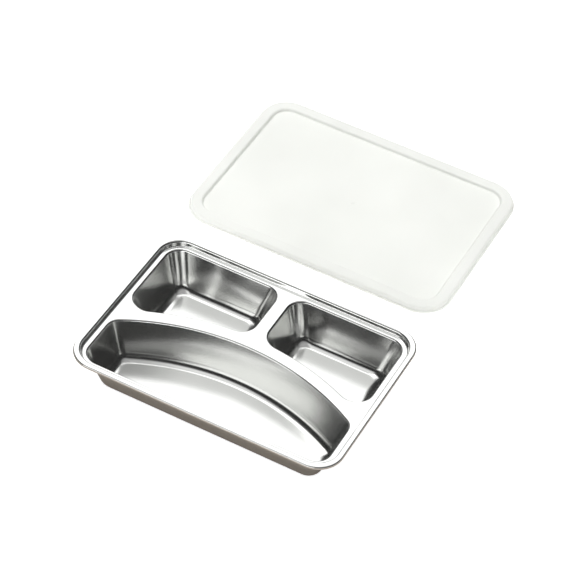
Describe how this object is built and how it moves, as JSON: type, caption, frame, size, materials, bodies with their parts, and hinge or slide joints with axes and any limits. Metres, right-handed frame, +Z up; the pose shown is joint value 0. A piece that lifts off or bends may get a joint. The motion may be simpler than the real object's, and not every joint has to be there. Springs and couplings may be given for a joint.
{
  "type": "compartment lunch box",
  "caption": "Deep-drawn stainless-steel lunch tray divided into compartments, shown open beside its press-on frosted plastic lid.",
  "frame": {"origin": "middle of the footprint that the tray and the lid share, on the surface they stand on", "axes": "+X along the tray's long side towards the right, +Y from the tray at the front to the lid behind it, +Z up"},
  "size_m": [0.304, 0.4706, 0.0467],
  "materials": {
    "stainless_steel": "satin",
    "frosted_plastic": "frosted, translucent"
  },
  "bodies": {
    "tray": {"tray": "stainless_steel"},
    "lid": {"lid": "frosted_plastic"}
  },
  "joints": [
    {"name": "lid_lift", "type": "slide", "parent": "tray", "child": "lid", "axis": [0, 0, 1], "range_m": [0, 0.12]}
  ]
}
